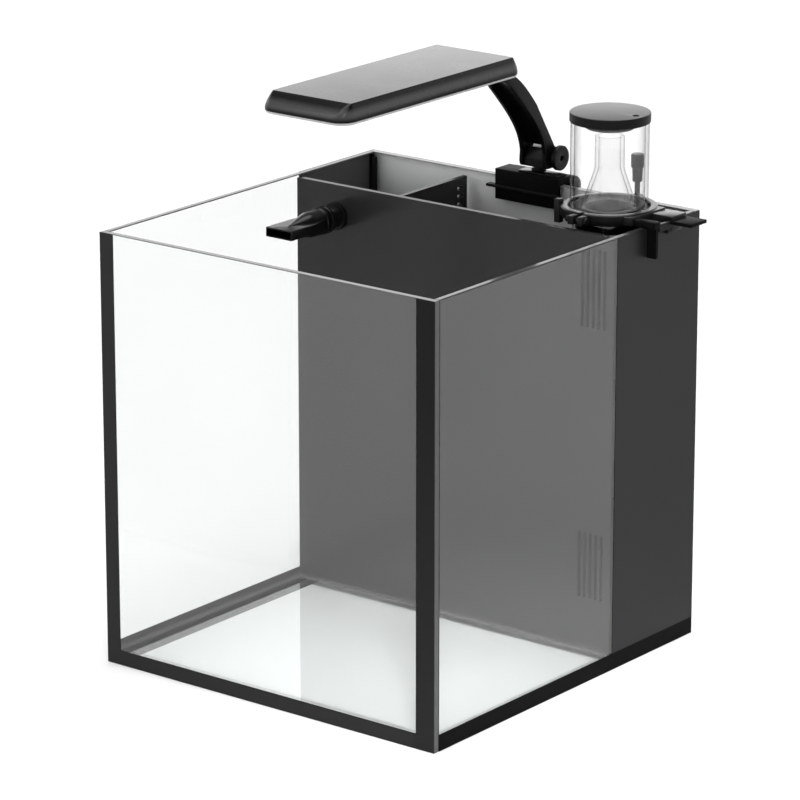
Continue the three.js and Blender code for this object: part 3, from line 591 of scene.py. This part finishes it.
def makeNozzle():
    x, z, root, tip, cone, lip = (outlet[k] for k in ("x", "z", "root", "tip", "coneR", "lipR"))
    centre = (x, z)
    spread = [(0, 0.8, 4), (5, 2.8, 5), (12, 5.7, 6.9), (20, 8.8, 9.2), (26, 10.6, 10.7)]
    spread += [(30, cone, cone), (root, cone, cone)]
    beak = loft([ringAt(y, rx, rz) for y, rx, rz in spread], 0)
    wide, end = outlet["halfX"], outlet["plateEnd"]
    plan = [(x - wide, tip), (x + wide, tip), (x + wide, end), (x + cone - 1, root)]
    plan += [(x - cone + 1, root), (x - wide, end)]
    bill = prism(plan, "Z", z - outlet["halfZ"], z + outlet["halfZ"], 0.5, 3)
    socket = [(0, root - 2), (cone, root - 2), (cone, root + 0.6), (lip, root + 1.4), (lip, root + 5)]
    socket += [(cone, root + 6.1), (0, root + 6.1)]
    whole = carved(beak, bill, turned(socket, "Y", centre, 72, width=0.3), operation="UNION")
    gapX, gapZ = wide - outlet["wall"], outlet["halfZ"] - outlet["wall"]
    mouth = block((x - gapX, tip - 1, z - gapZ), (x + gapX, outlet["slotEnd"], z + gapZ), 0.6)
    throat = turned([(0, 6), (2.2, 6), (outlet["boreR"], 36), (outlet["boreR"], 50), (0, 50)], "Y", centre, 48)
    form = carved(whole, mouth, throat)
    piece("duckbillNozzle", form, blackPlastic, "nozzle", ["duckbill_nozzle"], 32)
    grip = [(9.5, 48), (11.5, 48), (12.3, 48.9), (12.3, 51.6), (11.5, 52.5), (9.5, 52.5)]
    piece("nozzleCollar", turned(grip, "Y", centre, 72, True, 0.25), blackPlastic,
          "nozzle", ["nozzle_collar"])
    pipe = [(8, 48), (9.2, 48), (9.2, 64), (12, 64), (12, 68), (9.2, 68), (9.2, 82), (8, 82)]
    piece("outletBulkhead", turned(pipe, "Y", centre, 72, True, 0.35), blackPlastic,
          "tank", ["outlet_bulkhead"])


def makeReturn():
    for name in ("return_pump", "return_pump_cover", "bulkhead_nut"):
        keepNode(name, satinPlastic, 0.5)
    keepNode("return_impeller", rotorPlastic, 0.25)
    bend, start = 18, 82.3
    x, z = outlet["x"], outlet["z"]
    turns = [math.radians(15 * i) for i in range(7)]
    elbow = [(x, start, z)] + [(x, start + 6 + bend * math.sin(t), z - bend * (1 - math.cos(t))) for t in turns]
    endY, endZ = start + 6 + bend, z - bend - 8
    elbow.append((x, endY, endZ))
    piece("outletElbow", swept(elbow, 10.2, outlet["boreR"], 4, 40), blackPlastic,
          "tank", ["outlet_elbow"])
    top = endZ - 0.9
    hose = [(x, endY, top), (x, endY, top - 12), (x, endY + 3, 250), (-125, 114, 150), (-124, 112, 94)]
    hose += [(-124, 112, 70.6)]
    piece("returnHose", swept(hose, 8.4, 6.5, 8, 32), clearHose, "tank", ["return_hose"])


makeNozzle()
makeReturn()
print("water return made")


def makeFilter():
    keepNode("media_basket", satinPlastic, 0.4)
    low, high = corners("filter_sponge")
    form = block(low, high, 4, 4)
    bmesh.ops.subdivide_edges(form, edges=form.edges, cuts=6, use_grid_fill=True)
    bmesh.ops.triangulate(form, faces=form.faces)
    thing = piece("filterSponge", form, filterFoam, "sponge", ["filter_sponge"], 60)


makeFilter()
print("filter made")


lamp = {"x": 5, "rim": 493, "band": 495.6, "top": 507.5, "wall": 2, "soft": 0.7, "bulge": 1.35}
lamp.update({"rimHalf": 45, "rimFront": -139, "rimBack": 102, "rimR": 14})
lamp.update({"topHalf": 41, "topFront": -126, "topBack": 93, "topR": 2.5})
arm = {"half": 14, "cheek": 3.4, "pivotY": 190.5, "pivotZ": 398.7, "barrel": 8.9, "pinHole": 3.1}
knob = {"pinR": 2.8, "neckR": 7, "neck": 3, "discR": 11, "disc": 4, "recessR": 2.5, "reach": 3, "capR": 6}
post = {"x": 4, "y": 187, "bore": 4.8, "r": 4.5, "flangeR": 6.5, "low": 386.2, "top": 393.8}


def lampRing(share, inset, z):
    def between(a, b):
        return a + (b - a) * share
    half = between(lamp["rimHalf"], lamp["topHalf"]) - inset
    front = between(lamp["rimFront"], lamp["topFront"]) + inset
    back = between(lamp["rimBack"], lamp["topBack"]) - inset
    r = max(between(lamp["rimR"], lamp["topR"]) - inset, 1)
    return [(a, b, z) for a, b in roundedRect(lamp["x"] - half, lamp["x"] + half, front, back, r, 8)]


def makeLampHead():
    rim, band, top, wall, soft = (lamp[k] for k in ("rim", "band", "top", "wall", "soft"))
    outer = [lampRing(0, 0, rim), lampRing(0, 0, band)]
    last = 1 - soft / (top - band)
    rise = top - soft - band
    outer += [lampRing((last * i / 6) ** lamp["bulge"], 0, band + rise * i / 6) for i in range(1, 6)]
    for i in range(8):
        t = math.radians(90 * i / 7)
        share = last ** lamp["bulge"] + (1 - last ** lamp["bulge"]) * math.sin(t)
        outer.append(lampRing(share, soft * (1 - math.cos(t)), top - soft + soft * math.sin(t)))
    inner = [lampRing(1, wall + 2, top - wall), lampRing(0, wall, band), lampRing(0, wall, rim)]
    form = loft(inner + outer, 0)
    piece("lampHousing", form, lampShell, "lamp_head", ["lamp_housing"], 28)
    low, high, ledR = rim - 2.2, rim - 0.15, 2.4
    steps = ((1.5, low), (0.9, low + 0.3), (0.7, low + 1), (0.9, high))
    rings = [lampRing(0, inset, z) for inset, z in steps]
    piece("lampDiffuser", loft(rings, 0), diffuserAcrylic, "lamp_head", ["lamp_diffuser"])
    keepNode("led_board", boardMetal, 0.15)
    form = bmesh.new()
    bends = [math.pi * i / 10 for i in range(11)]
    half = [(ledR * math.sin(bend), 502.3 - ledR * math.cos(bend)) for bend in bends]
    for row in (-1, 0, 1):
        for i in range(7):
            lens = bpy.data.meshes.new("lens")
            ball = turned(half, "Z", (lamp["x"] + row * 20, -97 + i * 27), 20)
            ball.to_mesh(lens)
            ball.free()
            form.from_mesh(lens)
            bpy.data.meshes.remove(lens)
    piece("ledLenses", form, ledGlow, "lamp_head")


def armOutline():
    y, z, r = arm["pivotY"], arm["pivotZ"], arm["barrel"]
    spots = [(58, 490.4), (58, 487)]
    spots += bezier((58, 487), (98, 486.5), (116, 482), (128, 470))
    spots += bezier((128, 470), (152, 445), (174, 425), (176, 403), 20)
    spots += [(175.4, 396)]
    spots += bezier((175.4, 396), (175.5, 391), (177, z - r), (181, z - r), 6)
    spots += arc(y, z, r, -90, 36, 14)
    spots += [(189.5, 409), (163, 450.5)]
    spots += bezier((163, 450.5), (148, 468), (132, 487), (104, 490.4), 18)
    return spots


def makeLampArm():
    left, right = lamp["x"] - arm["half"], lamp["x"] + arm["half"]
    y, z = arm["pivotY"], arm["pivotZ"]
    bar = prism(armOutline(), "X", left, right, 0.6, 3)
    hollow = [(96, 480)] + bezier((96, 480), (118, 482), (128, 476), (142, 463), 12)
    hollow += [(160, 446.5), (184, 409), (210, 414), (210, 380), (165, 380), (96, 440)]
    channel = prism(hollow, "X", left + arm["cheek"], right - arm["cheek"], 0.8, 2)

    def pinHole():
        r = arm["pinHole"]
        return turned([(0, left - 2), (r, left - 2), (r, right + 2), (0, right + 2)], "X", (y, z), 40)

    form = carved(bar, channel, pinHole())
    piece("lampArm", form, blackPlastic, "lamp_head", ["lamp_arm"], 30)

    cheek = arm["cheek"] + 0.3
    foot = [(178, 390.2)] + arc(y, z, 8.5, -90, 90, 16) + [(184, 406.5), (178, 397.5)]
    base = prism(foot, "X", left + cheek, right - cheek, 0.6, 3)
    r, high = post["bore"], post["top"] + 0.3
    bore = turned([(0, 380), (r, 380), (r, high), (0, high)], "Z", (post["x"], post["y"]), 40)
    form = carved(base, bore, pinHole())
    piece("lampFoot", form, satinPlastic, "lamp_base", ["lamp_foot"], 30)

    pin, neck, disc, recess = knob["pinR"], knob["neckR"], knob["discR"], knob["recessR"]
    near, face = left - knob["reach"], right + knob["neck"]
    far = face + knob["disc"]
    profile = [(0, near), (pin, near), (pin, right + 0.3), (neck, right + 0.3), (neck, face), (disc, face)]
    profile += [(disc, far - 0.6), (disc - 0.6, far), (recess, far), (recess, face + 1), (0, face + 1)]
    form = turned(profile, "X", (y, z), 96, width=0.25)
    piece("tiltKnob", form, satinPlastic, "knob", ["tilt_knob"])
    inside, outside = arm["pinHole"], knob["capR"]
    cap = [(inside, near), (outside, near), (outside, left - 0.3), (inside, left - 0.3)]
    form = turned(cap, "X", (y, z), 48, True, 0.4)
    piece("pivotCap", form, steel, "lamp_head", ["pivot_cap"])


def lobed(count, depth, from_):
    return lambda turn, r: 1 + (depth * math.cos(count * turn) if r >= from_ else 0)


clamp = {"x0": -33, "x1": 35, "inner": 173, "outer": 194, "low": 357.5, "under": 378.3, "top": 384.5}
clamp.update({"wall": 3.2, "back": 4, "backLow": 350, "tongue": 7.7})
clamp.update({"jawX": 42, "jawLow": 346, "jawHigh": 384, "jaw": 3})
screw = {"x": 5, "z": 364, "hole": 3.3, "r": 3, "headR": 8.4, "stand": 2, "head": 9}
screw.update({"padFace": 183.2, "padR": 9, "pad": 3})


def screwHole(start, end):
    r = screw["hole"]
    return turned([(0, start), (r, start), (r, end), (0, end)], "Y", (screw["x"], screw["z"]), 40)


def makeClamp():
    x0, x1, inner, outer = (clamp[k] for k in ("x0", "x1", "inner", "outer"))
    low, under, top, wall = (clamp[k] for k in ("low", "under", "top", "wall"))
    back, backLow = outer - clamp["back"], clamp["backLow"]
    profile = [(inner, low), (inner + wall, low), (inner + wall, under), (back, under), (back, backLow)]
    profile += [(outer, backLow), (outer, top), (inner, top)]
    form = carved(prism(profile, "X", x0, x1, 0.6, 3), screwHole(back - 2, outer + 1))
    piece("clampBody", form, mattPlastic, "tank", ["clamp_body"], 30)
    end = x0 - clamp["tongue"]
    ledge = [(end, inner - 3), (x1, inner - 3), (x1, inner), (x0, inner), (x0, inner + wall)]
    ledge += [(end, inner + wall)]
    form = prism(ledge, "Z", 368, 370.5, 0.4, 2)
    piece("clampFlange", form, blackPlastic, "tank", ["clamp_flange"])
    shape = roundedRect(x0, clamp["jawX"], clamp["jawLow"], clamp["jawHigh"], 6, 8)
    rear = outer + clamp["jaw"]
    form = carved(prism(shape, "Y", outer, rear, 0.6, 3), screwHole(outer - 1, rear + 1))
    piece("clampJaw", form, satinPlastic, "tank", ["clamp_jaw"], 30)
    seat = post["low"]
    plate = prism(roundedRect(-10, 32, 175, 190, 2, 6), "Z", top, seat, 0.4, 2)
    piece("swivelPlate", plate, blackPlastic, "tank", ["swivel_plate"])
    r, flange = post["r"], post["flangeR"]
    shaft = [(0, seat), (flange, seat), (flange, seat + 1.5), (r, seat + 1.5), (r, post["top"])]
    shaft += [(0, post["top"])]
    form = turned(shaft, "Z", (post["x"], post["y"]), 64, width=0.3)
    piece("swivelPost", form, satinPlastic, "tank", ["swivel_post"])
    centre, face = (screw["x"], screw["z"]), screw["padFace"]
    padEnd, padR = face + screw["pad"], screw["padR"]
    form = turned([(0, face), (padR, face), (padR, padEnd), (0, padEnd)], "Y", centre, 64, width=0.6)
    piece("clampPad", form, blackSilicone, "pad", ["clamp_pad"])
    r, headR, start, head = screw["r"], screw["headR"], padEnd + 0.3, rear + screw["stand"]
    tail = head + screw["head"]
    thumb = [(0, start), (r, start), (r, head), (headR, head), (headR, tail - 1), (headR - 1, tail), (0, tail)]
    form = turned(thumb, "Y", centre, 96, width=0.3, wave=lobed(8, 0.06, 7))
    piece("clampScrew", form, blackPlastic, "thumb_screw", ["clamp_screw"])


makeLampHead()
makeLampArm()
makeClamp()
print("lamp made")


skimmer = {"x": 121.2, "y": 126.9, "ringR": 41.2, "ringIn": 34.5, "ringLow": 376.5, "ringTop": 386}
skimmer.update({"cupR": 33.1, "wall": 3})
cup = {"low": 384.6, "high": 457.2, "lidTop": 465.7, "lidR": 34.2, "plugR": 20.8, "plugLow": 451.8, "ventX": 26}
cup.update({"neckR": 12.5, "neckTop": 445.1, "coneR": 23.6})
valve = {"x": 121.5, "y": 167.5, "low": 386.3, "neck": 397.7, "shoulder": 409.4, "top": 421.7}
hanger = {"start": 162.9, "face": 175.7, "under": 378.3, "top": 384, "legX": 185, "legLow": 353}


def makeCollar():
    x, y, top, low = skimmer["x"], skimmer["y"], skimmer["ringTop"], skimmer["ringLow"]
    r, inside = skimmer["ringR"], skimmer["ringIn"]
    ring = [(inside, low), (r - 1, low), (r, low + 1), (r, top - 1), (r - 1, top), (inside + 1, top)]
    ring += [(inside, top - 1)]
    band = turned(ring, "Z", (x, y), 128, True, 0.25)
    starts = (x - 7.5, x + 2)
    ears = [block((at, y - r - 8.5, low + 1), (at + 5.5, y - r + 4, top - 1), 0.8, 3) for at in starts]
    tab = block((154, 101, 378.3), (162.6, 150, top - 1), 0.5, 2)
    stay = block((80.5, 104, 368.5), (86.5, 110, 389), 0.6, 3)
    lug = turned([(0, low), (5, low), (5, top), (0, top)], "Z", (valve["x"], valve["y"]), 40, width=0.4)
    whole = carved(band, *ears, tab, stay, lug, operation="UNION")
    clear = turned([(0, low - 1), (inside, low - 1), (inside, top + 4), (0, top + 4)], "Z", (x, y), 128)
    split = block((x - 2, y - r - 1, low - 1), (x + 2, y - inside + 1, top + 1), 0)
    hole = turned([(0, x - 12), (1.9, x - 12), (1.9, x + 12), (0, x + 12)], "X", (y - r - 4.3, 381.2), 32)
    piece("skimmerCollar", carved(whole, clear, split, hole), collarPlastic,
          "tank", ["skimmer_collar"], 30)
    bolt = [(0, x - 10.8), (2.8, x - 10.8), (2.8, x - 7.8), (1.5, x - 7.8), (1.5, x + 7.8)]
    bolt += [(3, x + 7.8), (3, x + 10.3), (0, x + 10.3)]
    piece("collarScrew", turned(bolt, "X", (y - r - 4.3, 381.2), 48, width=0.2), satinPlastic,
          "ring_screw", ["collar_screw"])


def makeHanger():
    start, face, under, top = (hanger[k] for k in ("start", "face", "under", "top"))
    legX, legLow = hanger["legX"], hanger["legLow"]
    reach = [(start, under), (face, under), (face, legLow), (legX, legLow), (legX, top), (start, top)]
    hook = prism(reach, "Y", 103, 111, 0.5, 3)
    spans = ((102, 104.8), (107.8, 112))
    trims = [block((face - 1, y0, legLow - 3), (legX + 2, y1, under), 0) for y0, y1 in spans]
    piece("hangerHook", carved(hook, *trims), mattPlastic, "tank", ["hanger_hook"], 30)
    saddle = [(start, under), (face, under), (face, 369), (180, 369), (180, 373), (184, 373)]
    saddle += [(184, top), (start, top)]
    rail = block((180, 111.3, 374.5), (184, 130, 381), 0.5, 3)
    form = carved(prism(saddle, "Y", 129, 150, 0.5, 3), rail, operation="UNION")
    piece("hangerBlock", form, collarPlastic, "tank", ["hanger_block"], 30)
    piece("hangerPlate", block((184.3, 126, 378.5), (205.5, 149, 381.5), 0.5, 3), mattPlastic,
          "tank", ["hanger_plate"])


def makeCup():
    centre = (skimmer["x"], skimmer["y"])
    rim = skimmer["ringIn"] - 0.3
    base = [(20, 366), (28.2, 366), (28.2, 377), (rim, 377), (rim, 384.3), (20, 384.3)]
    piece("cupBase", turned(base, "Z", centre, 128, True, 0.4), mattPlastic,
          "cup", ["cup_base"])
    r, wall = skimmer["cupR"], skimmer["wall"]
    tube = [(r - wall, cup["low"]), (r, cup["low"]), (r, cup["high"]), (r - wall, cup["high"])]
    piece("cupTube", turned(tube, "Z", centre, 160, True, 0.3), clearAcrylic,
          "cup", ["cup_tube"], 60)
    neck, top, foot = cup["neckR"], cup["neckTop"], cup["coneR"]
    cone = [(foot, cup["low"]), (neck + 0.6, 415), (neck, 418), (neck, top), (neck - wall, top)]
    cone += [(neck - wall, 418)]
    cone += [(neck + 0.6 - wall, 415), (foot - wall, cup["low"])]
    piece("neckCone", turned(cone, "Z", centre, 128, True, 0.3), clearAcrylic,
          "cup", ["neck_cone"], 60)
    under, lidTop, lidR = cup["high"] + 0.3, cup["lidTop"], cup["lidR"]
    lid = [(0, cup["plugLow"]), (cup["plugR"], cup["plugLow"]), (cup["plugR"], under), (lidR, under)]
    lid += [(lidR, lidTop), (0, lidTop)]
    form = turned(lid, "Z", centre, 128, width=0.8, steps=4)
    vent = turned([(0, 450), (3, 450), (3, 470), (0, 470)], "Z", (centre[0] + cup["ventX"], centre[1]), 40)
    piece("cupLid", carved(form, vent), satinPlastic, "lid", ["cup_lid"], 30)


def makeAirValve():
    centre = (valve["x"], valve["y"])
    low, neck, shoulder, top = (valve[k] for k in ("low", "neck", "shoulder", "top"))
    stem = [(0, low), (2.3, low), (2.3, neck), (4.2, neck), (4.5, shoulder), (0, shoulder)]
    piece("valveBody", turned(stem, "Z", centre, 64, width=0.3), satinPlastic,
          "tank", ["valve_body"])
    cap = [(0, shoulder + 0.3), (5.2, shoulder + 0.3), (5.6, shoulder + 1.3), (5.6, top - 1)]
    cap += [(4.9, top), (0, top)]
    piece("valveCap", turned(cap, "Z", centre, 96, width=0.2, wave=lobed(24, 0.015, 5)), satinPlastic,
          "valve", ["valve_cap"])
    x, y = centre
    route = [(x, y, 376.2), (x, y, 200), (x, y, 60), (x, y - 3, 38), (x, 156, 30.5), (x, 151, 30)]
    piece("airTube", swept(route, 2.5, 1.5, 8, 20), clearHose, "tank", ["air_tube"])


def makeSkimmerBody():
    centre = (skimmer["x"], skimmer["y"])
    body = [(6, 44), (31, 44), (31, 376), (28.5, 376), (28.5, 47), (6, 47)]
    piece("skimmerBody", turned(body, "Z", centre, 96, True, 0.4), clearAcrylic,
          "tank", ["skimmer_body"])
    keepNode("skimmer_pump", satinPlastic, 0.5)
    keepNode("skimmer_impeller", rotorPlastic, 0.25)


makeCollar()
makeHanger()
makeCup()
makeAirValve()
makeSkimmerBody()
print("skimmer made")


room = {"floor": 30.0, "floorLevel": 236, "lowSky": 1.6, "highSky": 0.25, "bandLow": 0.34, "bandHigh": 0.57}
room.update({"overhead": 2.3, "overheadAngle": 60})
key = {"spot": (-1.2, -1.6, 2.2), "aim": (0, 0, 0.25), "size": (1.2, 1.2), "watts": 12}
fill = {"spot": (1.0, -1.0, 1.7), "aim": (0.12, 0.04, 0.0), "watts": 380, "cone": 12, "soft": 0.25}
view = {"azimuth": 38.0, "elevation": 16.89, "lens": 200.6, "spot": (2.2175, -2.8414, 1.3160)}


def makeRoom():
    form = bmesh.new()
    bmesh.ops.create_grid(form, x_segments=1, y_segments=1, size=room["floor"])
    floor = asObject("floor", form)
    f = Finish("paleFloor")
    cloud = f.noise(0.8, 2.0, 0.5)
    colour = f.blend(cloud, tone(room["floorLevel"] - 1), tone(room["floorLevel"] + 1))
    floor.data.materials.append(f.done(f.principled(Base_Color=colour, Roughness=0.9, Specular_IOR_Level=0.1)))


# A bright band of window light near the horizon, a dim ceiling and a wide soft lamp straight overhead.
def makeSky():
    world = bpy.data.worlds.new("studio")
    world.use_nodes = True
    nodes, links = world.node_tree.nodes, world.node_tree.links
    place = nodes.new("ShaderNodeTexCoord")
    split = nodes.new("ShaderNodeSeparateXYZ")
    fade = nodes.new("ShaderNodeMapRange")
    fade.interpolation_type = "SMOOTHSTEP"
    for socket, key in zip(fade.inputs[1:5], ("bandLow", "bandHigh", "lowSky", "highSky")):
        socket.default_value = room[key]
    links.new(place.outputs["Generated"], split.inputs[0])
    links.new(split.outputs["Z"], fade.inputs[0])
    links.new(fade.outputs[0], nodes["Background"].inputs["Strength"])
    nodes["Background"].inputs["Color"].default_value = (1, 1, 1, 1)
    bpy.context.scene.world = world
    sun = bpy.data.lights.new("overhead", "SUN")
    sun.energy, sun.angle = room["overhead"], math.radians(room["overheadAngle"])
    bpy.context.scene.collection.objects.link(bpy.data.objects.new("overhead", sun))


def makeKey():
    data = bpy.data.lights.new("key", "AREA")
    data.shape, data.energy = "RECTANGLE", key["watts"]
    data.size, data.size_y = key["size"]
    thing = bpy.data.objects.new("key", data)
    thing.location = key["spot"]
    thing.rotation_euler = (Vector(key["aim"]) - Vector(key["spot"])).to_track_quat("-Z", "Y").to_euler()
    bpy.context.scene.collection.objects.link(thing)


def makeFill():
    data = bpy.data.lights.new("fill", "SPOT")
    data.energy, data.spot_size = fill["watts"], math.radians(fill["cone"])
    data.spot_blend, data.shadow_soft_size = 1.0, fill["soft"]
    thing = bpy.data.objects.new("fill", data)
    thing.location = fill["spot"]
    thing.rotation_euler = (Vector(fill["aim"]) - Vector(fill["spot"])).to_track_quat("-Z", "Y").to_euler()
    bpy.context.scene.collection.objects.link(thing)


def makeCamera():
    data = bpy.data.cameras.new("camera")
    data.lens, data.sensor_width, data.clip_start, data.clip_end = view["lens"], 36, 0.1, 100
    camera = bpy.data.objects.new("camera", data)
    camera.location = view["spot"]
    camera.rotation_euler = (math.radians(90 - view["elevation"]), 0, math.radians(view["azimuth"]))
    bpy.context.scene.collection.objects.link(camera)
    bpy.context.scene.camera = camera


makeRoom()
makeSky()
makeKey()
makeFill()
makeCamera()
bpy.context.scene.view_settings.view_transform = "Standard"
print("room, light and camera made")

bpy.context.view_layer.update()
